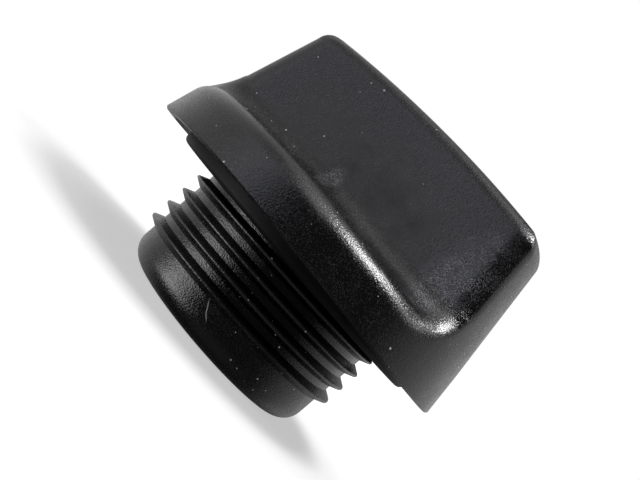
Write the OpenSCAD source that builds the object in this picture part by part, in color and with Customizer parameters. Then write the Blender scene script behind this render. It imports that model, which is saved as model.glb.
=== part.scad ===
// Oil filler cap: a moulded screw cap with a full-width wing grip, a domed
// skirt, a coarse threaded stem and a separate sealing ring under the flange.
// Z runs along the thread axis. The cap stands on its plug end at z = 0, the
// grip is on top and its long direction is X. Sizes are millimetres.

/* [Flange skirt] */
// Distance the lower rim of the skirt stands out beyond the sealing ring
flange_overhang = 5.4; // [4.6:0.1:9]
// Rise of the rim and shoulder from the grip ends to the middle of each scoop
rim_rise = 1.3; // [0:0.1:1.8]
// Slope of the skirt and of the grip ends from upright, degrees
side_taper = 10.5; // [6:0.5:16]
// Height of the skirt shoulder above the rim, at the mouth of each scoop
shoulder_h = 7.6; // [5:0.1:11]
// Rounding of the shoulder where the skirt turns in to the scoops
shoulder_r = 3.6; // [1:0.1:5]
// Wall of the skirt at the rim
skirt_wall = 2.4; // [1.8:0.1:4]

/* [Grip] */
// Height of the grip, at its middle, above the rim at the grip ends
grip_h = 30.4; // [20:0.2:34]
// Amount the top falls away from the middle to the grip ends
grip_crown = 1.6; // [0:0.1:3]
// Thickness of the grip at its waist, near the top
grip_waist = 11; // [8:0.2:18]
// Amount each broad face flares out from the waist to the grip ends
grip_flare = 1.6; // [0:0.1:4]
// Slope of the broad faces from upright, degrees
face_draft = 6; // [2:0.5:12]
// Rounding of the top edges
grip_edge_r = 2.6; // [1:0.1:4]
// Sharpness of the four upright corners of the grip: larger is crisper
corner_sharpness = 15; // [6:1:24]

/* [Scoops] */
// Radius of the blend between each scoop floor and its broad face
scoop_blend_r = 6; // [3:0.2:10]
// Rise of the scoop floor towards the grip, degrees
floor_rise = 2; // [1:0.5:8]

/* [Threaded stem] */
// Distance from the rim, at the grip ends, down to the plug end
stem_l = 18; // [14:0.2:30]
// Outside diameter of the thread
thread_d = 39.8; // [30:0.1:50]
// Advance of the thread in one turn
thread_pitch = 3; // [2:0.1:5]
// Height of the thread ridge above the stem
thread_depth = 1.6; // [0.8:0.1:2.4]
// Width of the thread crest
thread_crest_w = 0.35; // [0.2:0.05:1]
// Width of the thread ridge where it meets the stem
thread_foot_w = 2; // [1:0.1:2.8]
// Gap between the middle of the ridge, where it ends, and the sealing ring
thread_end_gap = 0.15; // [0.1:0.05:4]
// Height of the middle of the ridge above the plug end, where it starts
thread_start_h = 5; // [4:0.1:9]
// Direction in which the thread starts, degrees from X
thread_start_dir = 62; // [0:1:359]
// Rounding of the outer edge of the plug end
nose_r = 3.4; // [1:0.1:5]
// Wall between the hollow in the stem and the foot of the thread
stem_wall = 4.8; // [2:0.1:8]

/* [Sealing ring] */
// Width of the ring, from the stem to its outer edge
ring_w = 7.2; // [4:0.05:10]
// Thickness of the ring
ring_t = 3.2; // [2:0.1:5]
// Amount the ring stands below the rim at the grip ends
ring_stand = 0.7; // [0.4:0.1:2.5]
// Rounding of the outer edges of the ring
ring_edge_r = 0.9; // [0.2:0.1:1.4]
// Height of the lead at the bore, which lets the ring slide over the thread
ring_lead_h = 1; // [0.6:0.1:1.5]

/* [Hidden] */
// Radii from the stem outwards: the ring fits round it and the skirt round that
ring_gap = 0.05;
stem_r = thread_d / 2 - thread_depth;
ring_r = stem_r + ring_gap + ring_w;
rim_r = ring_r + flange_overhang;
rim_z = stem_l;
bore_r = stem_r - stem_wall;
// The flat face of the ring starts this far outside the thread
ring_lead_r = thread_d / 2 + 0.5;
// A cut runs this far past the faces it opens
past = 1;

// Moulded walls under the grip and flange
grip_wall = 2.7;
bore_above = 6.7;
bore_lead = 0.6;
slot_draft = 1.2;
slot_w = grip_waist - 2 * grip_wall;
slot_top_z = rim_z + grip_h - grip_wall - grip_crown / 3;

// Ring seat: height of its back, and the land beyond the ring
seat_z = rim_z + ring_t - ring_stand;
seat_r = ring_r + 0.5;
// Relief between the seat and the skirt, and the draft of its walls
relief_h = 3.8;
relief_draft = 0.3;
skirt_in_r = rim_r - skirt_wall;

// Turns that fit between the start of the thread and the ring
thread_turns = (rim_z - ring_stand - thread_end_gap - thread_start_h) / thread_pitch;
// The thread ridge sinks this far into the stem and rises over a share of a turn
foot_sink = 0.3;
run_out = 0.13;
steps_per_turn = 40;

// Surfaces of the grip and skirt, by height h above the rim at the grip ends
function side_r(h) = rim_r - h * tan(side_taper);
function face_y(h) = grip_waist / 2 + (grip_h - h) * tan(face_draft);
// How far a rounding of radius r has turned in, d above its start
function turn_in(r, d) = let (c = min(r, max(0, d))) r - sqrt(max(0, r * r - c * c));
function edge_in(h) = turn_in(grip_edge_r, h - edge_h);
edge_h = grip_h - grip_edge_r;

// Blend between the scoop floor and the broad face
floor_mid = 0.75;
blend_low_h = shoulder_h + (rim_r - face_y(shoulder_h)) * tan(floor_rise) * floor_mid;
blend_top_h = blend_low_h + scoop_blend_r;
blend_end = 90 - floor_rise;
function blend_point(a) = let (h = blend_top_h - scoop_blend_r * sin(a))
    [h, face_y(h) + scoop_blend_r * (1 - cos(a))];

// Scoop floor, from the foot of the blend out to the shoulder
floor_in = blend_point(blend_end);
shoulder_y = side_r(shoulder_h) - shoulder_r;
function floor_point(y) = [floor_in[0] - (y - floor_in[1]) * tan(floor_rise), y];
// Height of the shoulder in a direction: it follows the rise of the floor
function shoulder_top(a) = floor_point(max(floor_in[1], shoulder_y * abs(sin(a))))[0];
shoulder_foot = shoulder_top(90) - shoulder_r;

// Stations up the surface: [height above the rim, half the grip thickness there].
// Below the floor the grip is as wide as the skirt.
full_y = 400;
skirt_stations = concat([[0, full_y], [shoulder_foot, full_y]],
    [for (a = [24, 44, 62, 78]) [shoulder_foot + shoulder_r * sin(a), full_y]]);
floor_stations = [for (y = [shoulder_y:-2:floor_in[1] + 1]) floor_point(y)];
blend_steps = 8;
blend_stations = [for (i = [blend_steps:-1:0]) blend_point(blend_end * i / blend_steps)];
face_steps = 4;
face_stations = [for (i = [1:face_steps])
    let (h = blend_top_h + (edge_h - blend_top_h) * i / face_steps) [h, face_y(h)]];
edge_stations = [for (a = [18:18:90]) let (h = edge_h + grip_edge_r * sin(a)) [h, face_y(h)]];
stations = concat(skirt_stations, floor_stations, blend_stations, face_stations, edge_stations);

// Directions round the axis, closer together at the four corners of the grip
corner_h = 18;
corner_dir = asin((face_y(corner_h) + grip_flare) / side_r(corner_h));
corner_from = corner_dir - 6;
corner_to = corner_dir + 5;
function spread(from, to, steps) = [for (i = [0:steps - 1]) from + (to - from) * i / steps];
quarter = concat(spread(0, corner_from, 3), spread(corner_from, corner_to, 8),
    spread(corner_to, 90, 16));
half_turn = concat(quarter, [90], [for (i = [len(quarter) - 1:-1:1]) 180 - quarter[i]]);
directions = concat(half_turn, [for (a = half_turn) a + 180]);

// Distance from the axis at which the flare and the crown reach their full size
flare_at = 25;
function crown_share(h) = max(0, (h - shoulder_h) / (grip_h - shoulder_h));
// Slab of half thickness half_t cut by a circle, with rounded corners
function rounded_r(end_r, half_t, a) = pow(pow(1 / end_r, corner_sharpness)
    + pow(abs(sin(a)) / half_t, corner_sharpness), -1 / corner_sharpness);
// The shoulder is rounded in the scoops and fades out towards the grip ends
function smooth_share(t) = let (c = min(1, max(0, t))) c * c * (3 - 2 * c);
function scoop_share(h, a) = smooth_share(
    (side_r(h) * abs(sin(a)) - face_y(h) - grip_flare) / scoop_blend_r);
function shoulder_in(h, a) = turn_in(shoulder_r, h - shoulder_top(a) + shoulder_r)
    * scoop_share(h, a);
function outer_r(h, y, a) = let (
    end_r = side_r(h) - edge_in(h) - shoulder_in(h, a),
    half_t = y - edge_in(h),
    along = rounded_r(end_r, half_t, a) * cos(a))
    rounded_r(end_r, half_t + grip_flare * pow(along / flare_at, 2), a);
// The rim, shoulder and floor rise into the scoops; the rise fades out up the blend
function lift(h, a) = rim_rise * pow(sin(a), 2)
    * (1 - smooth_share((h - blend_low_h) / scoop_blend_r));
function outer_point(s, a) = let (r = outer_r(s[0], s[1], a), x = r * cos(a))
    [x, r * sin(a), rim_z + s[0] + lift(s[0], a)
        - grip_crown * crown_share(s[0]) * pow(x / flare_at, 2)];

// Closes a ring of n points with strips from one long edge to the other
function strips(first, n) = [for (i = [0:n / 2 - 1]) let (across = (n - i) % n, next = n - i - 1)
    each concat(i == across ? [] : [[first + i, first + across, first + i + 1]],
        i + 1 == next ? [] : [[first + across, first + next, first + i + 1]])];
function flipped(faces) = [for (f = faces) [f[0], f[2], f[1]]];

// One surface from the rim over the shoulder, scoop, blend and face to the top
module grip_and_skirt() {
    n = len(directions);
    m = len(stations);
    points = [for (s = stations) for (a = directions) outer_point(s, a)];
    sides = [for (k = [0:m - 2]) for (i = [0:n - 1]) let (j = (i + 1) % n)
        each [[k * n + i, (k + 1) * n + i, (k + 1) * n + j],
              [k * n + i, (k + 1) * n + j, k * n + j]]];
    polyhedron(points, concat(sides, strips((m - 1) * n, n), flipped(strips(0, n))),
        convexity = 6);
}

// Plain stem under the thread, with the rounded plug end
module stem() {
    rotate_extrude($fn = 128) {
        translate([0, nose_r]) square([stem_r, seat_z + past - nose_r]);
        square([stem_r - nose_r, nose_r + past]);
        intersection() {
            translate([stem_r - nose_r, nose_r]) circle(r = nose_r, $fn = 64);
            translate([stem_r - nose_r, 0]) square([nose_r, nose_r]);
        }
    }
}

// Section of the thread ridge at a share t of its length, rising at both ends
function ridge_section(t) = let (
    a = thread_start_dir + 360 * thread_turns * t,
    z = thread_start_h + thread_pitch * thread_turns * t,
    rise = min(1, min(t, 1 - t) * thread_turns / run_out),
    low_r = stem_r - foot_sink,
    hid_r = stem_r - foot_sink / 2,
    top_r = hid_r + (thread_d / 2 - hid_r) * rise,
    crest = thread_crest_w / 2,
    foot = thread_foot_w / 2
        + (thread_foot_w - thread_crest_w) / 2 * foot_sink / thread_depth)
    [for (q = [[low_r, -foot], [top_r, -crest], [top_r, crest], [low_r, foot]])
        [q[0] * cos(a), q[0] * sin(a), z + q[1]]];

// Right-hand thread: one ridge of V section wound up the stem
module thread() {
    n = round(thread_turns * steps_per_turn);
    points = [for (i = [0:n]) each ridge_section(i / n)];
    sides = [for (i = [0:n - 1]) for (k = [0:3]) let (a = 4 * i + k, b = 4 * i + (k + 1) % 4)
        each [[a, b, b + 4], [a, b + 4, a + 4]]];
    last = 4 * n;
    ends = [[0, 3, 2], [0, 2, 1], [last, last + 1, last + 2], [last, last + 2, last + 3]];
    polyhedron(points, concat(sides, ends), convexity = 8);
}

// Round hollow in the stem and the slot above it that keeps the grip wall even
module core() {
    rotate_extrude($fn = 128)
        polygon([[0, -past], [bore_r + bore_lead + past, -past], [bore_r, bore_lead],
            [bore_r, rim_z + bore_above], [0, rim_z + bore_above]]);
    intersection() {
        translate([-bore_r, -slot_w / 2, rim_z]) cube([2 * bore_r, slot_w, slot_top_z - rim_z]);
        translate([0, 0, rim_z])
            cylinder(r1 = bore_r, r2 = bore_r - slot_draft, h = grip_h, $fn = 128);
    }
}

// Under the flange: the ring seat, and the relief between it and the skirt
module underside() {
    relief_top = rim_z + relief_h;
    rotate_extrude($fn = 128)
        polygon([[stem_r, rim_z - past], [skirt_in_r, rim_z - past], [skirt_in_r, rim_z],
            [skirt_in_r - relief_draft - relief_h * tan(side_taper), relief_top],
            [seat_r + relief_draft, relief_top], [seat_r, seat_z], [stem_r, seat_z]]);
}

module cap_body() color([0.09, 0.09, 0.1]) {
    difference() {
        union() {
            difference() {
                grip_and_skirt();
                underside();
            }
            stem();
            thread();
        }
        core();
    }
}

// Flat rubber ring with rounded outer edges and a lead at its bore, on its seat
module sealing_ring() color([0.05, 0.05, 0.05]) {
    inner_r = stem_r + ring_gap;
    translate([0, 0, rim_z - ring_stand])
        rotate_extrude($fn = 128) {
            polygon([[inner_r, ring_lead_h], [ring_lead_r, 0], [ring_r - ring_edge_r, 0],
                [ring_r - ring_edge_r, ring_t], [inner_r, ring_t]]);
            translate([ring_lead_r, ring_edge_r])
                square([ring_r - ring_lead_r, ring_t - 2 * ring_edge_r]);
            for (z = [ring_edge_r, ring_t - ring_edge_r])
                translate([ring_r - ring_edge_r, z]) circle(r = ring_edge_r, $fn = 48);
        }
}

// Piece to build: "all" or one name from the list above

cap_body();
sealing_ring();
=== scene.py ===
import bpy
import bmesh
import math
from mathutils import Matrix, Vector


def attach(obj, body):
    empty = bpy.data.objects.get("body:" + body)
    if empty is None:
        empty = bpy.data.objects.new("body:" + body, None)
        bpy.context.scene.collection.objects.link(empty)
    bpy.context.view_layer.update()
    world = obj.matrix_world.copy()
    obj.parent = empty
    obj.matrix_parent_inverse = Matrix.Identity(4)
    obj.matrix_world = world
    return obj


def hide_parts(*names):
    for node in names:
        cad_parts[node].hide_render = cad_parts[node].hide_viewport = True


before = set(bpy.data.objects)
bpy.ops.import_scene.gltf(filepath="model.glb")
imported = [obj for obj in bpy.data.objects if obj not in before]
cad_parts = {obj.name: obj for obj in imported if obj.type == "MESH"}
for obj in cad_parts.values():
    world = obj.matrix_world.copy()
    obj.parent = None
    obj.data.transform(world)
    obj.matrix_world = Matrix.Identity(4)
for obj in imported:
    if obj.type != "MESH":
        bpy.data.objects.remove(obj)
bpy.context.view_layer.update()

mm = 0.001        # sizes below are in millimetres
sharpAngle = 30   # degrees: an edge that turns more stays sharp in the shading


# small helpers for edit mode

def dropSelection():
    if bpy.context.object and bpy.context.object.mode != "OBJECT":
        bpy.ops.object.mode_set(mode="OBJECT")
    bpy.ops.object.select_all(action="DESELECT")


def startEdit(piece):
    dropSelection()
    piece.select_set(True)
    bpy.context.view_layer.objects.active = piece
    bpy.ops.object.mode_set(mode="EDIT")
    bpy.ops.mesh.select_mode(type="VERT")
    bpy.ops.mesh.select_all(action="DESELECT")


def pick(piece, wanted):
    # selects the vertices whose place is wanted
    bpy.ops.mesh.select_all(action="DESELECT")
    mesh = bmesh.from_edit_mesh(piece.data)
    for vert in mesh.verts:
        if wanted(vert.co / mm):
            vert.select = True
    mesh.select_flush(True)
    bmesh.update_edit_mesh(piece.data)


def settle(piece, newPlace):
    # moves each selected vertex to newPlace(the direction it was given in the first ring)
    mesh = bmesh.from_edit_mesh(piece.data)
    way = mesh.verts.layers.float["direction"]
    for vert in mesh.verts:
        if vert.select:
            vert.co = newPlace(vert[way]) * mm
    bmesh.update_edit_mesh(piece.data)


def useModifier(piece, kind, **settings):
    dropSelection()
    piece.select_set(True)
    bpy.context.view_layer.objects.active = piece
    step = piece.modifiers.new(kind.lower(), kind)
    for key, value in settings.items():
        setattr(step, key, value)
    bpy.ops.object.modifier_apply(modifier=step.name)


def smoothShading(piece):
    dropSelection()
    piece.select_set(True)
    bpy.context.view_layer.objects.active = piece
    bpy.ops.object.shade_smooth_by_angle(angle=math.radians(sharpAngle))


def tidyNormals(piece):
    startEdit(piece)
    bpy.ops.mesh.select_all(action="SELECT")
    bpy.ops.mesh.remove_doubles(threshold=0.000002)
    bpy.ops.mesh.normals_make_consistent(inside=False)
    smoothShading(piece)


def turnIn(radius, rise):
    # how far a rounding has turned in, at a rise above its start
    c = min(radius, max(0.0, rise))
    return radius - math.sqrt(max(0.0, radius * radius - c * c))


def easeShare(t):
    c = min(1.0, max(0.0, t))
    return c * c * (3 - 2 * c)


def slope(degrees):
    return math.tan(math.radians(degrees))


# the camera lies nearly in the plane of the flange and is rolled, as the photograph's was

shot = {
    "place": (0.06266, -0.14073, 0.02024),
    "right": (0.59988, 0.25133, 0.75959),
    "ahead": (-0.40623, 0.91359, 0.01853),
    "lens": 55.29,
}


def addCamera():
    ahead = Vector(shot["ahead"]).normalized()
    right = Vector(shot["right"]).normalized()
    up = right.cross(ahead)
    turn = Matrix((right, up, -ahead)).transposed()
    bpy.ops.object.camera_add(location=shot["place"], rotation=turn.to_euler())
    camera = bpy.context.object
    camera.name = "photoCamera"
    camera.data.lens = shot["lens"]
    camera.data.sensor_width = 36
    camera.data.clip_start = 0.01
    bpy.context.scene.camera = camera


# moulded cap: one skin drawn ring by ring, from the rim up over the grip and from the rim in and down

cap = {
    "directions": 320,       # vertices in each ring
    "rimZ": 18.0,            # at the grip ends
    "rimRise": 1.3,          # from the grip ends to the middle of each scoop
    "rimRadius": 30.95,
    "rimRound": 0.3,
    "taper": 10.5,           # skirt side and grip ends, degrees
    "shoulderHeight": 7.6,
    "edgeRound": 3.8,        # along the shoulder and on up the corners of the grip
    "gripHeight": 30.4,
    "gripWaist": 11.0,
    "gripCrown": 1.6,        # fall of the top and flare of the broad faces, this far from the middle
    "gripFlare": 1.6,
    "gripReach": 25.0,
    "faceDraft": 6.0,
    "topRound": 2.6,
    "scoopBlend": 6.0,
    "floorRise": 2.0,        # degrees
    # how many of a quarter's vertices, as a share, reach how many degrees: close at the corners
    "crowding": [(0, 0), (0.16, 10), (0.58, 23), (1, 90)],
}

rings = {
    # how the rings are spaced up the skin
    "shoulder": 12,
    "blend": 18,
    "face": 8,
    "topTurn": 9,            # degrees
    "floorStep": 0.1,        # first step in from the shoulder, its growth and its largest
    "floorGrowth": 0.05,
    "floorLargest": 0.9,
    "floorGap": 0.4,         # kept clear before the blend
}


def sideRadius(h):
    return cap["rimRadius"] - h * slope(cap["taper"])


def faceHalf(h):
    return cap["gripWaist"] / 2 + (cap["gripHeight"] - h) * slope(cap["faceDraft"])


def blendPoint(degrees):
    # on the blend from the scoop floor to the broad face: its height and half thickness
    radius = cap["scoopBlend"]
    low = cap["shoulderHeight"] + 0.75 * slope(cap["floorRise"]) * (
        cap["rimRadius"] - faceHalf(cap["shoulderHeight"]))
    h = low + radius * (1 - math.sin(math.radians(degrees)))
    return h, faceHalf(h) + radius * (1 - math.cos(math.radians(degrees)))


blendFoot = blendPoint(90 - cap["floorRise"])
topEdge = cap["gripHeight"] - cap["topRound"]


def floorHeight(y):
    return blendFoot[0] - (y - blendFoot[1]) * slope(cap["floorRise"])


shoulderEdge = floorHeight(sideRadius(cap["shoulderHeight"]))  # height where floor and side would meet


def lift(h, a):
    # rim, shoulder and floor rise into the scoops, and the rise fades out up the blend
    fade = easeShare((h - blendPoint(90)[0]) / cap["scoopBlend"])
    return cap["rimRise"] * math.sin(a) ** 2 * (1 - fade)


def lean(h, draft):
    # how far a side faces upwards: its draft, then on round the top edge
    up = math.degrees(math.asin(min(1.0, max(0.0, (h - topEdge) / cap["topRound"]))))
    return math.radians(draft * (1 - up / 90) + up)


def scoopSide(x, y, h, flare):
    # how far a point lies under the floor, the blend or the broad face, and which way that faces
    sign = 1 if y > 0 else -1
    blend = cap["scoopBlend"]
    away = faceHalf(h) + blend - (abs(y) - flare)
    below = blendPoint(90)[0] + blend - h
    if away <= 0:
        t = math.radians(cap["floorRise"])
        return h - floorHeight(abs(y)), Vector((0, sign * math.sin(t), math.cos(t)))
    if below <= 0:
        t = lean(h, cap["faceDraft"])
        gap = blend - away + turnIn(cap["topRound"], h - topEdge)
        return gap, Vector((-flare * 2 / x if x else 0, sign * math.cos(t), math.sin(t))).normalized()
    gap = math.hypot(away, below)
    return blend - gap, Vector((0, sign * away / gap, below / gap))


def roundOver(gap, first, second):
    # a point at this depth under the second side moves off the first, on to the rounded edge
    radius = cap["edgeRound"]
    c = min(0.9999, first.dot(second))
    reach = radius * (1 - c)
    if gap >= reach:
        return Vector((0, 0, 0))
    whole = math.acos(c)
    turned = whole / 2 * (1 - gap / reach)
    offFirst = radius * (math.cos(turned) - 1)
    offSecond = radius * (math.cos(whole - turned) - 1) + gap
    share = 1 - c * c
    return (first * (offFirst - c * offSecond) + second * (offSecond - c * offFirst)) / share


def skinPlace(h, half, a):
    edgeIn = turnIn(cap["topRound"], h - topEdge)
    endRadius = sideRadius(h) - edgeIn
    across = max(1e-6, abs(math.sin(a)))
    along = min(endRadius, (half - edgeIn) / across) * math.cos(a)
    faceReach = (half - edgeIn + cap["gripFlare"] * (along / cap["gripReach"]) ** 2) / across
    flare = faceReach * across - (half - edgeIn)
    reach = min(endRadius, faceReach)
    spot = Vector((reach * math.cos(a), reach * math.sin(a), h))
    gap, faceWay = scoopSide(*spot, flare)
    t = lean(h, cap["taper"])
    endWay = Vector((math.cos(a) * math.cos(t), math.sin(a) * math.cos(t), math.sin(t)))
    if faceReach < endRadius:
        spot += roundOver((endRadius - faceReach) * math.cos(t), faceWay, endWay)
    else:
        spot += roundOver(-gap, endWay, faceWay)
    x, y, h = spot
    crownShare = max(0, (h - cap["shoulderHeight"]) / (cap["gripHeight"] - cap["shoulderHeight"]))
    drop = cap["gripCrown"] * crownShare * (x / cap["gripReach"]) ** 2
    return Vector((x, y, cap["rimZ"] + h + lift(h, math.atan2(y, x)) - drop))


def skinStations():
    # height above the rim and half the grip's thickness there, from the rim to the top
    wide = 400.0  # below the floor the grip is as wide as the skirt
    foot = shoulderEdge - cap["edgeRound"]
    rows = [(cap["rimRound"], wide), (foot / 2, wide), (foot, wide)]
    rows += [(foot + cap["edgeRound"] * i / rings["shoulder"], wide) for i in range(1, rings["shoulder"])]
    y = sideRadius(shoulderEdge)
    step = rings["floorStep"]
    while y - step > blendFoot[1] + rings["floorGap"]:
        y -= step
        step = min(rings["floorLargest"], step + rings["floorGrowth"])
        rows.append((floorHeight(y), y))
    rows += [blendPoint((90 - cap["floorRise"]) * i / rings["blend"]) for i in range(rings["blend"], -1, -1)]
    blendTop = blendPoint(0)[0]
    for i in range(1, rings["face"] + 1):
        h = blendTop + (topEdge - blendTop) * i / rings["face"]
        rows.append((h, faceHalf(h)))
    for d in range(rings["topTurn"], 91, rings["topTurn"]):
        h = topEdge + cap["topRound"] * math.sin(math.radians(d))
        rows.append((h, faceHalf(h)))
    return rows


def ringDirection(i):
    # every second quarter runs the other way, so that the four corners match
    quarter = cap["directions"] // 4
    quarters, left = divmod(i, quarter)
    mirrored = quarters % 2
    t = 1 - left / quarter if mirrored else left / quarter
    marks = cap["crowding"]
    for (t0, d0), (t1, d1) in zip(marks, marks[1:]):
        if t <= t1:
            degrees = d0 + (d1 - d0) * (t - t0) / (t1 - t0)
            break
    return math.radians(90 * quarters + (90 - degrees if mirrored else degrees))


def slotReach(end, half, a):
    # reach of a slot that a circle cuts off; the power leaves its corners slightly rounded
    power = under["slotPower"]
    return ((1 / end) ** power + (abs(math.sin(a)) / half) ** power) ** (-1 / power)


def nextRing(shell, place):
    bpy.ops.mesh.extrude_region_move(TRANSFORM_OT_translate={"value": (0, 0, 0.1 * mm)})
    settle(shell, place)


def drawRound(shell, path, follow=0):
    # rings of a radius and a height; follow is the share of the rim's rise they take up
    for radius, z in path:
        nextRing(shell, lambda a: Vector((radius * math.cos(a), radius * math.sin(a),
                                          z + follow * lift(0, a))))


def closeGrip():
    # the last ring is still selected: strips join its two long sides, and a small face fills each end
    mesh = bmesh.from_edit_mesh(bpy.context.object.data)
    for vert in mesh.verts:
        if vert.select and abs(vert.co.y) < 1e-6:
            vert.select = False
    mesh.select_flush(False)
    bmesh.update_edit_mesh(bpy.context.object.data)
    bpy.ops.mesh.select_mode(type="EDGE")
    bpy.ops.mesh.bridge_edge_loops()
    bpy.ops.mesh.select_mode(type="VERT")
    bpy.ops.mesh.select_all(action="SELECT")
    bpy.ops.mesh.fill_holes(sides=3)


def buildShell():
    dropSelection()
    bpy.ops.mesh.primitive_circle_add(vertices=cap["directions"], radius=cap["rimRadius"] * mm)
    shell = bpy.context.object
    shell.name = "cap_moulding"
    bpy.ops.object.mode_set(mode="EDIT")
    mesh = bmesh.from_edit_mesh(shell.data)
    way = mesh.verts.layers.float.new("direction")
    ring = sorted(mesh.verts, key=lambda v: math.atan2(v.co.y, v.co.x) % (2 * math.pi))
    rimIn = cap["rimRadius"] - cap["rimRound"]
    for i, vert in enumerate(ring):
        a = ringDirection(i)
        vert[way] = a
        vert.co = Vector((rimIn * math.cos(a), rimIn * math.sin(a), cap["rimZ"] + lift(0, a))) * mm
    bmesh.update_edit_mesh(shell.data)
    bpy.ops.mesh.select_all(action="SELECT")
    for h, half in skinStations():
        nextRing(shell, lambda a: skinPlace(h, half, a))
    closeGrip()
    return shell


# under the flange and inside the stem, all round forms until the slot under the grip

under = {
    "skirtWall": 2.4,
    "reliefHeight": 3.8,
    "reliefDraft": 0.3,
    "seatRadius": 26.05,
    "seatZ": 20.5,
    "stemRadius": 18.3,
    "stemTop": 16.5,         # where the seat's ring of faces turns down the stem
    "noseRound": 3.4,
    "boreRadius": 13.5,
    "boreLead": 0.6,
    "boreTop": 24.7,
    "slotHalf": 2.8,
    "slotTop": 45.17,
    "slotInset": 0.1,        # from the bore at the slot's foot
    "slotDraft": 1.2,        # over the whole grip
    "slotPower": 15,
    "edgeRound": 0.3,
}


def drawUnderside(shell):
    u, e = under, under["edgeRound"]
    skirtIn = cap["rimRadius"] - u["skirtWall"]
    reliefTop = cap["rimZ"] + u["reliefHeight"]
    reliefOut = skirtIn - u["reliefDraft"] - u["reliefHeight"] * slope(cap["taper"])
    pick(shell, lambda p: abs(p.z - cap["rimZ"] - lift(0, math.atan2(p.y, p.x))) < 0.01)
    drawRound(shell, [(skirtIn + e, cap["rimZ"]), (skirtIn, cap["rimZ"] + e)], follow=1)
    drawRound(shell, [
        (reliefOut, reliefTop - e), (reliefOut - e, reliefTop),
        (u["seatRadius"] + u["reliefDraft"] + e, reliefTop),
        (u["seatRadius"] + u["reliefDraft"], reliefTop - e),
        (u["seatRadius"] + e, u["seatZ"] + e), (u["seatRadius"], u["seatZ"]),
        (u["stemRadius"], u["seatZ"]), (u["stemRadius"], u["stemTop"])])
    nose = [(u["stemRadius"] - turnIn(u["noseRound"], u["noseRound"] * math.sin(math.radians(d))),
             u["noseRound"] * (1 - math.sin(math.radians(d)))) for d in range(0, 91, 9)]
    drawRound(shell, nose)
    drawRound(shell, [
        (u["boreRadius"] + u["boreLead"], 0), (u["boreRadius"], u["boreLead"]),
        (u["boreRadius"], u["boreTop"])])

    def slotPlace(z):
        end = u["boreRadius"] - u["slotInset"] - (z - cap["rimZ"]) / cap["gripHeight"] * u["slotDraft"]
        def place(a):
            r = slotReach(end, u["slotHalf"], a)
            return Vector((r * math.cos(a), r * math.sin(a), z))
        return place
    nextRing(shell, slotPlace(u["boreTop"]))
    nextRing(shell, slotPlace(u["slotTop"]))


# thread: one rounded ridge section wound up the stem, sunk into it and joined to it

thread = {
    "crestRadius": 19.9,
    "depth": 1.6,
    "pitch": 3.0,
    "crestWidth": 0.35,
    "crestRound": 0.165,
    "footWidth": 2.0,
    "sink": 0.3,             # how deep the ridge starts under the stem's skin
    "startZ": 5.0,
    "startDirection": 62.0,
    "turns": 4.05,
    "runOut": 0.13,          # share of a turn over which the ridge rises at each end
    "stepsPerTurn": 96,
}


def buildCoil():
    t = thread
    low = under["stemRadius"] - t["sink"]
    foot = t["footWidth"] / 2 + (t["footWidth"] - t["crestWidth"]) / 2 * t["sink"] / t["depth"]
    a = math.radians(t["startDirection"])
    dropSelection()
    bpy.ops.mesh.primitive_plane_add(size=1 * mm)
    coil = bpy.context.object
    coil.name = "thread_ridge"
    bpy.ops.object.mode_set(mode="EDIT")
    bpy.ops.mesh.select_all(action="DESELECT")
    mesh = bmesh.from_edit_mesh(coil.data)
    for vert in mesh.verts:
        out, side = vert.co.x > 0, (1 if vert.co.y > 0 else -1)
        r = t["crestRadius"] if out else low
        z = t["startZ"] + side * (t["crestWidth"] / 2 if out else foot)
        vert.co = Vector((r * math.cos(a), r * math.sin(a), z)) * mm
        vert.select = out
    mesh.select_flush(True)
    bmesh.update_edit_mesh(coil.data)
    bpy.ops.mesh.bevel(offset=t["crestRound"] * mm, segments=3, affect="VERTICES")
    bpy.ops.mesh.select_all(action="SELECT")
    bpy.ops.mesh.delete(type="ONLY_FACE")
    bpy.ops.object.mode_set(mode="OBJECT")
    around = len(coil.data.vertices)
    steps = round(t["turns"] * t["stepsPerTurn"])
    useModifier(coil, "SCREW", axis="Z", angle=2 * math.pi * t["turns"], steps=steps,
                render_steps=steps, screw_offset=t["pitch"] * t["turns"] * mm,
                use_normal_calculate=False)
    startEdit(coil)
    mesh = bmesh.from_edit_mesh(coil.data)
    mesh.verts.ensure_lookup_table()
    hidden = under["stemRadius"] - t["sink"] / 2
    for i, vert in enumerate(mesh.verts):
        share = (i // around) / steps
        rise = min(1, min(share, 1 - share) * t["turns"] / t["runOut"])
        r = math.hypot(vert.co.x, vert.co.y) / mm
        if r > hidden:
            k = (hidden + (r - hidden) * easeShare(rise)) / r
            vert.co.x *= k
            vert.co.y *= k
    bmesh.update_edit_mesh(coil.data)
    bpy.ops.mesh.select_all(action="SELECT")
    bpy.ops.mesh.fill_holes(sides=0)
    bpy.ops.mesh.normals_make_consistent(inside=False)
    bpy.ops.object.mode_set(mode="OBJECT")
    return coil


def buildCap():
    shell = buildShell()
    drawUnderside(shell)
    bpy.ops.mesh.edge_face_add()
    tidyNormals(shell)
    shell.data.attributes.remove(shell.data.attributes["direction"])
    coil = buildCoil()
    useModifier(shell, "BOOLEAN", operation="UNION", solver="EXACT", object=coil)
    bpy.data.objects.remove(coil)
    smoothShading(shell)
    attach(shell, "root")
    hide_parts("cap_body")
    return shell


# rubber ring: a flat section with rounded outer corners and a lead at the bore, spun round the stem

ring = {
    "boreRadius": 18.35,
    "leadRadius": 20.4,
    "leadHeight": 1.0,
    "outerRadius": 25.55,
    "low": 17.3,
    "thick": 3.2,
    "edgeRound": 0.9,
    "steps": 192,
}


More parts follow.
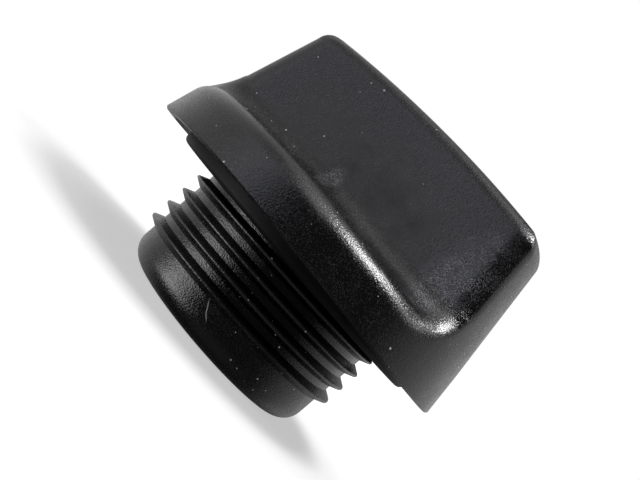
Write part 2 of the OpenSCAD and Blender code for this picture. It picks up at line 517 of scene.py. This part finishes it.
def buildRing():
    r = ring
    dropSelection()
    bpy.ops.mesh.primitive_plane_add(size=1 * mm)
    seal = bpy.context.object
    seal.name = "seal_ring"
    bpy.ops.object.mode_set(mode="EDIT")
    bpy.ops.mesh.select_all(action="DESELECT")
    pick(seal, lambda p: p.y < 0)
    bpy.ops.mesh.subdivide(number_cuts=1)
    mesh = bmesh.from_edit_mesh(seal.data)
    for vert in mesh.verts:
        out, high, middle = vert.co.x > 0, vert.co.y > 0, abs(vert.co.x) < 1e-7
        reach = r["leadRadius"] if middle else r["outerRadius"] if out else r["boreRadius"]
        rise = r["thick"] if high else r["leadHeight"] if not (out or middle) else 0
        vert.select = out and not middle
        vert.co = Vector((reach, 0, r["low"] + rise)) * mm
    mesh.select_flush(True)
    bmesh.update_edit_mesh(seal.data)
    bpy.ops.mesh.bevel(offset=r["edgeRound"] * mm, segments=8, affect="VERTICES", profile=0.5)
    bpy.ops.mesh.select_all(action="SELECT")
    bpy.ops.mesh.delete(type="ONLY_FACE")
    bpy.ops.mesh.select_all(action="SELECT")
    bpy.ops.mesh.spin(steps=r["steps"], angle=2 * math.pi, center=(0, 0, 0), axis=(0, 0, 1))
    bpy.ops.object.mode_set(mode="OBJECT")
    tidyNormals(seal)
    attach(seal, "root")
    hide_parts("sealing_ring")
    return seal


# looks: every pattern reads the Object coordinates, in metres

def newMaterial(name):
    look = bpy.data.materials.new(name)
    look.use_nodes = True
    look.node_tree.nodes.clear()
    return look, look.node_tree


def node(tree, kind, place, **settings):
    made = tree.nodes.new(kind)
    made.location = place
    for key, value in settings.items():
        setattr(made, key, value)
    return made


def noiseNode(tree, coords, place, scale, detail=3.0, roughness=0.55):
    made = node(tree, "ShaderNodeTexNoise", place)
    made.inputs["Scale"].default_value = scale
    made.inputs["Detail"].default_value = detail
    made.inputs["Roughness"].default_value = roughness
    tree.links.new(coords, made.inputs["Vector"])
    return made.outputs["Fac"]


def rangeNode(tree, value, place, fromLow, fromHigh, toLow, toHigh):
    made = node(tree, "ShaderNodeMapRange", place)
    for key, number in zip(("From Min", "From Max", "To Min", "To Max"),
                           (fromLow, fromHigh, toLow, toHigh)):
        made.inputs[key].default_value = number
    tree.links.new(value, made.inputs["Value"])
    return made.outputs["Result"]


def mathNode(tree, action, first, second, place):
    made = node(tree, "ShaderNodeMath", place, operation=action)
    for socket, value in zip(made.inputs, (first, second)):
        if isinstance(value, (int, float)):
            socket.default_value = value
        else:
            tree.links.new(value, socket)
    return made.outputs[0]


def mixColour(tree, factor, first, second, place):
    made = node(tree, "ShaderNodeMix", place, data_type="RGBA")
    tree.links.new(factor, made.inputs["Factor"])
    for socket, value in ((made.inputs["A"], first), (made.inputs["B"], second)):
        if isinstance(value, tuple):
            socket.default_value = (*value, 1)
        else:
            tree.links.new(value, socket)
    return made.outputs["Result"]


def spotMask(tree, coords, place, centre, half, soft):
    # 1 inside an ellipsoid of these half sizes, fading to 0 round it over soft of them each way
    scaled = node(tree, "ShaderNodeVectorMath", place, operation="MULTIPLY_ADD")
    tree.links.new(coords, scaled.inputs[0])
    scaled.inputs[1].default_value = [1 / (h * mm) for h in half]
    scaled.inputs[2].default_value = [-c / h for c, h in zip(centre, half)]
    length = node(tree, "ShaderNodeVectorMath", (place[0] + 180, place[1]), operation="LENGTH")
    tree.links.new(scaled.outputs[0], length.inputs[0])
    return rangeNode(tree, length.outputs["Value"], (place[0] + 360, place[1]),
                     1 - soft, 1 + soft, 1, 0)


def finishLook(tree, colour, rough, shine, grain, strength, depth):
    bump = node(tree, "ShaderNodeBump", (-300, -200))
    bump.inputs["Strength"].default_value = strength
    bump.inputs["Distance"].default_value = depth
    tree.links.new(grain, bump.inputs["Height"])
    shader = node(tree, "ShaderNodeBsdfPrincipled", (0, 0))
    shader.inputs["Specular IOR Level"].default_value = shine
    if isinstance(rough, float):
        shader.inputs["Roughness"].default_value = rough
    else:
        tree.links.new(rough, shader.inputs["Roughness"])
    tree.links.new(colour, shader.inputs["Base Color"])
    tree.links.new(bump.outputs["Normal"], shader.inputs["Normal"])
    out = node(tree, "ShaderNodeOutputMaterial", (300, 0))
    tree.links.new(shader.outputs[0], out.inputs["Surface"])


# the moulded plastic: scales in cells per metre, spots in millimetres, and other lengths in metres

plasticLook = {
    "dark": (0.0022, 0.0022, 0.0025),
    "pale": (0.0055, 0.0055, 0.006),
    "shine": 0.38,
    "grainScale": 4400.0,
    "grainDepth": 0.00006,
    "pitScale": 5720.0,
    "pitRough": (0.04, 0.24),
    "patchScale": 95.0,
    "patchRough": (0, 0.12),
    "blotchScale": 351.5,
    "blotchRough": (-0.04, 0.07),
}

wearAndPaintedLight = {
    # broad faces, dulled by hands on both sides
    "smudge": dict(centre=(4, 0, 35), half=(14, 60, 5), soft=0.8),
    "smudgeRough": 0.42,
    # painted highlights: pale speckle beside the leading corners of the grip, and a small pale patch above
    # one scoop, standing in for glints
    "glintsAndFlecks": [
        dict(centre=(21.4, -8, 33.5), half=(3.6, 6, 8), soft=0.35),
        dict(centre=(-21.4, 8, 33.5), half=(3.6, 6, 8), soft=0.35),
        dict(centre=(-2.9, -8, 30.2), half=(1.3, 3, 2.2), soft=0.5),
    ],
    "glintAndFleckPale": (0.30, 0.30, 0.32),
    "fleck": 0.09,             # share of that tone in sparse flecks everywhere
    # thread: painted shade, near black, in the grooves between the ridges, and a painted highlight, paler,
    # along the crests
    "threadFrom": (0.0068, 0.0076),
    "threadTo": (0.0173, 0.0177),
    "crestFrom": (0.0194, 0.01985),
    "paintedGrooveShade": (0.0005, 0.0005, 0.0006),
    "paintedCrestHighlight": (0.018, 0.018, 0.019),
}

dirt = {
    "scale": 850.0,
    "size": 0.14,              # of the largest speck, in cells
    "share": 0.66,             # cells without a speck
    "patchy": (0.14, -0.10),   # added to that share in bare and in dusty patches
    "clearFrom": (0.024, 0.034),   # and with height, up the grip
    "clear": 0.2,
    "tone": (0.6, 0.6, 0.58),
    # one short bent scratch on the nose; across is the direction it is thin in
    "scratch": dict(centre=(4.9, -17.7, 4.6), half=(1.2, 1.5, 1.6), soft=0.3),
    "across": (-0.72, -0.20, -0.66),
    "bend": 0.0002,
    "halfWidth": 0.00006,
}


def plasticRough(tree, coords, pits, patches, blotches):
    p = plasticLook
    rough = rangeNode(tree, pits, (-1500, 60), 0.42, 0.6, *p["pitRough"])
    dull = mathNode(tree, "ADD", rangeNode(tree, patches, (-1500, -180), 0.42, 0.66, *p["patchRough"]),
                    rangeNode(tree, blotches, (-1500, -300), 0.3, 0.7, *p["blotchRough"]), (-1300, -180))
    uneven = rangeNode(tree, blotches, (-1500, -420), 0.25, 0.75, 0.5, 1)
    smudge = mathNode(tree, "MULTIPLY", spotMask(tree, coords, (-1800, -660), **wearAndPaintedLight["smudge"]), uneven,
                      (-1100, -600))
    smudge = mathNode(tree, "MULTIPLY", smudge, wearAndPaintedLight["smudgeRough"], (-950, -600))
    return mathNode(tree, "ADD", mathNode(tree, "ADD", rough, dull, (-1300, 0)), smudge, (-900, 0))


# pale spots painted as highlights beside the grip corners and above one scoop, and sparse pale flecks
# everywhere
def paintGlintsAndFlecks(tree, coords, colour, pits, blotches):
    spots = [spotMask(tree, coords, (-1800, -900 - 240 * i), **spot) for i, spot in enumerate(wearAndPaintedLight["glintsAndFlecks"])]
    glintsAndFlecks = spots[0]
    for i, spot in enumerate(spots[1:]):
        glintsAndFlecks = mathNode(tree, "MAXIMUM", glintsAndFlecks, spot, (-1300 + 150 * i, -1000))
    speckle = rangeNode(tree, pits, (-1500, 540), 0.47, 0.68, 0, 1)
    uneven = rangeNode(tree, blotches, (-1200, -1200), 0.3, 0.6, 0.3, 1)
    glintsAndFlecks = mathNode(tree, "MULTIPLY", glintsAndFlecks, speckle, (-1000, -1000))
    glintsAndFlecks = mathNode(tree, "MULTIPLY", glintsAndFlecks, uneven, (-800, -900))
    flecks = rangeNode(tree, pits, (-1200, -1400), 0.6, 0.7, 0, wearAndPaintedLight["fleck"])
    glintsAndFlecks = mathNode(tree, "MAXIMUM", glintsAndFlecks, flecks, (-700, -1100))
    return mixColour(tree, glintsAndFlecks, colour, wearAndPaintedLight["glintAndFleckPale"], (-650, 300))


# painted light on the thread: shade darkens the grooves and a highlight lightens the crests
def threadShadeAndHighlight(tree, coords, colour, height):
    flat = node(tree, "ShaderNodeVectorMath", (-1800, 2000), operation="MULTIPLY")
    tree.links.new(coords, flat.inputs[0])
    flat.inputs[1].default_value = (1, 1, 0)
    reach = node(tree, "ShaderNodeVectorMath", (-1600, 2000), operation="LENGTH")
    tree.links.new(flat.outputs[0], reach.inputs[0])
    above = rangeNode(tree, height, (-1400, 2200), *wearAndPaintedLight["threadFrom"], 0, 1)
    below = rangeNode(tree, height, (-1400, 2400), *wearAndPaintedLight["threadTo"], 1, 0)
    crest = rangeNode(tree, reach.outputs["Value"], (-1400, 2000), *wearAndPaintedLight["crestFrom"], 0, 1)
    # painted shade in the grooves, painted highlight on the crests
    tone = mixColour(tree, crest, wearAndPaintedLight["paintedGrooveShade"], wearAndPaintedLight["paintedCrestHighlight"], (-1000, 2000))
    wound = mathNode(tree, "MULTIPLY", above, below, (-1200, 2200))
    return mixColour(tree, wound, colour, tone, (-500, 500))


def dustMask(tree, coords, height, patches):
    # specks in loose groups: some cells hold one, of its own size
    cells = node(tree, "ShaderNodeTexVoronoi", (-1800, 780))
    cells.inputs["Scale"].default_value = dirt["scale"]
    tree.links.new(coords, cells.inputs["Vector"])
    draw = node(tree, "ShaderNodeSeparateColor", (-1500, 780))
    tree.links.new(cells.outputs["Color"], draw.inputs[0])
    group = mathNode(tree, "ADD", rangeNode(tree, patches, (-1500, 1000), 0.4, 0.62, *dirt["patchy"]),
                     rangeNode(tree, height, (-1500, 1150), *dirt["clearFrom"], 0, dirt["clear"]),
                     (-1400, 1050))
    bare = mathNode(tree, "ADD", group, dirt["share"], (-1300, 1100))
    held = mathNode(tree, "GREATER_THAN", draw.outputs[0], bare, (-1100, 1100))
    size = mathNode(tree, "MULTIPLY", draw.outputs[1], dirt["size"], (-1300, 900))
    speck = mathNode(tree, "LESS_THAN", cells.outputs["Distance"], size, (-1100, 900))
    return mathNode(tree, "MULTIPLY", speck, held, (-900, 900))


def scratchMask(tree, coords, blotches):
    across = node(tree, "ShaderNodeVectorMath", (-1800, 1300), operation="DOT_PRODUCT")
    tree.links.new(coords, across.inputs[0])
    across.inputs[1].default_value = dirt["across"]
    middle = sum(c * w for c, w in zip(dirt["scratch"]["centre"], dirt["across"])) * mm
    bend = rangeNode(tree, blotches, (-1500, 1500), 0.3, 0.7, middle - dirt["bend"], middle + dirt["bend"])
    off = mathNode(tree, "SUBTRACT", across.outputs["Value"], bend, (-1300, 1300))
    off = mathNode(tree, "ABSOLUTE", off, 0, (-1100, 1300))
    line = mathNode(tree, "LESS_THAN", off, dirt["halfWidth"], (-900, 1300))
    near = spotMask(tree, coords, (-1800, 1700), **dirt["scratch"])
    return mathNode(tree, "MULTIPLY", line, near, (-700, 1300))


def makePlastic():
    p = plasticLook
    look, tree = newMaterial("satinBlackNylon")
    coords = node(tree, "ShaderNodeTexCoord", (-2100, 0)).outputs["Object"]
    split = node(tree, "ShaderNodeSeparateXYZ", (-1800, 1150))
    tree.links.new(coords, split.inputs[0])
    height = split.outputs[2]
    grain = noiseNode(tree, coords, (-1800, 300), p["grainScale"], 1.0, 0.5)
    pits = noiseNode(tree, coords, (-1800, 60), p["pitScale"], 1.0, 0.5)
    patches = noiseNode(tree, coords, (-1800, -180), p["patchScale"], 3.0, 0.5)
    blotches = noiseNode(tree, coords, (-1800, -420), p["blotchScale"], 2.0, 0.5)
    rough = plasticRough(tree, coords, pits, patches, blotches)
    tone = rangeNode(tree, patches, (-1300, 300), 0.3, 0.7, 0, 1)
    colour = mixColour(tree, tone, p["dark"], p["pale"], (-900, 300))
    # painted highlights: pale speckled spots near the grip corners and above one scoop, with sparse pale
    # flecks
    colour = paintGlintsAndFlecks(tree, coords, colour, pits, blotches)
    # painted shade in the thread grooves and painted highlight on its crests
    colour = threadShadeAndHighlight(tree, coords, colour, height)
    marks = mathNode(tree, "MAXIMUM", dustMask(tree, coords, height, patches),
                     scratchMask(tree, coords, blotches), (-500, 900))
    colour = mixColour(tree, marks, colour, dirt["tone"], (-350, 300))
    finishLook(tree, colour, rough, p["shine"], grain, 1.0, p["grainDepth"])
    return look


rubberLook = {
    "dark": (0.003, 0.003, 0.0033),
    "pale": (0.006, 0.006, 0.0065),
    "rough": 0.55,
    "shine": 0.12,
    "grainScale": 2600.0,
    "grainDepth": 0.00003,
    "bloomScale": 240.0,
}


def makeRubber():
    p = rubberLook
    look, tree = newMaterial("blackNitrileRubber")
    coords = node(tree, "ShaderNodeTexCoord", (-1000, 0)).outputs["Object"]
    fine = noiseNode(tree, coords, (-800, 100), p["grainScale"], 2.0, 0.5)
    bloom = noiseNode(tree, coords, (-800, -150), p["bloomScale"], 3.0, 0.6)
    tone = rangeNode(tree, bloom, (-550, -150), 0.4, 0.75, 0, 1)
    colour = mixColour(tree, tone, p["dark"], p["pale"], (-300, 200))
    finishLook(tree, colour, p["rough"], p["shine"], fine, 0.3, p["grainDepth"])
    return look


# floor, world and lamps

room = {
    "floorColour": (0.55, 0.55, 0.55),
    "floorGlow": 0.50,        # as the camera sees it, near the cap
    "whiteFrom": 0.10,        # distance in metres over which it grows to plain white
    "whiteAt": 0.26,
    "roundLight": 0.15,       # world strength for light on the object
    "glossBase": 0.05,        # the least that gloss sees anywhere
    "cards": {
        # what gloss sees of the room: azimuth, elevation, half width of the even part, of the fade, level
        "backWall": dict(azimuth=178, elevation=18, even=25, fade=78, level=0.72),
        "leftWall": dict(azimuth=-138, elevation=27, even=10, fade=34, level=0.3),
        "frontSky": dict(azimuth=-88, elevation=66, even=7, fade=22, level=2.6),
        "highSky": dict(azimuth=8, elevation=70, even=7, fade=15, level=26),
        "sideSky": dict(azimuth=30, elevation=46, even=3, fade=13, level=4.5),
        "rightCard": dict(azimuth=54, elevation=4, even=22, fade=58, level=0.72),
        "lowFront": dict(azimuth=-60, elevation=-50, even=10, fade=50, level=0.14),
        "lowCard": dict(azimuth=-129, elevation=-19, even=12, fade=25, level=6.2),
    },
}

lamps = {
    # direction from the cap: azimuth, elevation; distance and size in metres, power in watts
    "skyPanel": dict(azimuth=-118, elevation=22, distance=0.60, size=(0.34, 0.40), power=0.48,
                     tint=(0.84, 0.85, 1.0)),
    "roofPanel": dict(azimuth=40, elevation=86, distance=0.60, size=(0.46, 0.46), power=1.1,
                      tint=(1, 1, 1)),
    "brightPanel": dict(azimuth=8, elevation=70, distance=0.60, size=(0.34, 0.14), power=2.4,
                        tint=(1, 1, 1)),
}


def toward(azimuth, elevation):
    a, e = math.radians(azimuth), math.radians(elevation)
    return Vector((math.cos(e) * math.cos(a), math.cos(e) * math.sin(a), math.sin(e)))


def addLamps():
    middle = Vector((0, 0, 0.024))
    for name, lamp in lamps.items():
        toLamp = toward(lamp["azimuth"], lamp["elevation"])
        bpy.ops.object.light_add(type="AREA", location=middle + toLamp * lamp["distance"],
                                 rotation=toLamp.to_track_quat("Z", "Y").to_euler())
        light = bpy.context.object
        light.name = name
        light.data.shape = "RECTANGLE"
        light.data.size, light.data.size_y = lamp["size"]
        light.data.energy = lamp["power"]
        light.data.color = lamp["tint"]


def seenDirectly(tree, place):
    # 1 for rays from the camera or through clear matter
    path = node(tree, "ShaderNodeLightPath", place)
    seen = mathNode(tree, "MAXIMUM", path.outputs["Is Camera Ray"], path.outputs["Is Transmission Ray"],
                    (place[0] + 200, place[1]))
    return seen, path


def addFloor():
    # white to the camera without more light: part of its level is seen by camera rays alone
    bpy.ops.mesh.primitive_plane_add(size=3.0, location=(0, 0, 0))
    floor = bpy.context.object
    floor.name = "paleFloor"
    floor.visible_glossy = False
    look, tree = newMaterial("paleTable")
    seen = seenDirectly(tree, (-700, -200))[0]
    diffuse = node(tree, "ShaderNodeBsdfDiffuse", (-100, 100))
    diffuse.inputs["Color"].default_value = (*room["floorColour"], 1)
    glow = node(tree, "ShaderNodeEmission", (-100, -150))
    spot = node(tree, "ShaderNodeTexCoord", (-1100, -400)).outputs["Object"]
    away = node(tree, "ShaderNodeVectorMath", (-900, -400), operation="LENGTH")
    tree.links.new(spot, away.inputs[0])
    level = rangeNode(tree, away.outputs["Value"], (-700, -400), room["whiteFrom"], room["whiteAt"],
                      room["floorGlow"], 1.0)
    tree.links.new(mathNode(tree, "MULTIPLY", seen, level, (-300, -200)), glow.inputs["Strength"])
    both = node(tree, "ShaderNodeAddShader", (100, 0))
    tree.links.new(diffuse.outputs[0], both.inputs[0])
    tree.links.new(glow.outputs[0], both.inputs[1])
    out = node(tree, "ShaderNodeOutputMaterial", (300, 0))
    tree.links.new(both.outputs[0], out.inputs["Surface"])
    floor.data.materials.append(look)


def addWorld():
    # white to the camera, a low even light for the object, and soft cards in its gloss
    world = bpy.data.worlds.new("whiteRoom")
    bpy.context.scene.world = world
    world.use_nodes = True
    tree = world.node_tree
    tree.nodes.clear()
    heading = node(tree, "ShaderNodeTexCoord", (-1300, -200)).outputs["Generated"]
    cards = room["glossBase"]
    for i, card in enumerate(room["cards"].values()):
        facing = node(tree, "ShaderNodeVectorMath", (-1100, -200 * i), operation="DOT_PRODUCT")
        tree.links.new(heading, facing.inputs[0])
        facing.inputs[1].default_value = toward(card["azimuth"], card["elevation"])
        level = node(tree, "ShaderNodeMapRange", (-900, -200 * i), interpolation_type="SMOOTHSTEP")
        level.inputs["From Min"].default_value = math.cos(math.radians(card["fade"]))
        level.inputs["From Max"].default_value = math.cos(math.radians(card["even"]))
        level.inputs["To Max"].default_value = card["level"]
        tree.links.new(facing.outputs["Value"], level.inputs["Value"])
        cards = mathNode(tree, "ADD", cards, level.outputs["Result"], (-700, -200 * i))
    white, path = seenDirectly(tree, (-700, 300))
    gloss = mathNode(tree, "MULTIPLY", path.outputs["Is Glossy Ray"], cards, (-500, 100))
    plain = mathNode(tree, "MULTIPLY", path.outputs["Is Diffuse Ray"], room["roundLight"], (-500, -100))
    strength = mathNode(tree, "MAXIMUM", white, mathNode(tree, "ADD", gloss, plain, (-300, 0)), (-100, 100))
    backdrop = node(tree, "ShaderNodeBackground", (100, 0))
    backdrop.inputs["Color"].default_value = (1, 1, 1, 1)
    tree.links.new(strength, backdrop.inputs["Strength"])
    out = node(tree, "ShaderNodeOutputWorld", (300, 0))
    tree.links.new(backdrop.outputs[0], out.inputs["Surface"])


addCamera()
print("camera placed")
moulding = buildCap()
moulding.data.materials.clear()
moulding.data.materials.append(makePlastic())
print("cap", len(moulding.data.vertices), "vertices")
seal = buildRing()
seal.data.materials.append(makeRubber())
print("ring", len(seal.data.vertices), "vertices")
addFloor()
addWorld()
addLamps()
bpy.context.scene.view_settings.view_transform = "Standard"
print("room and lamps placed")
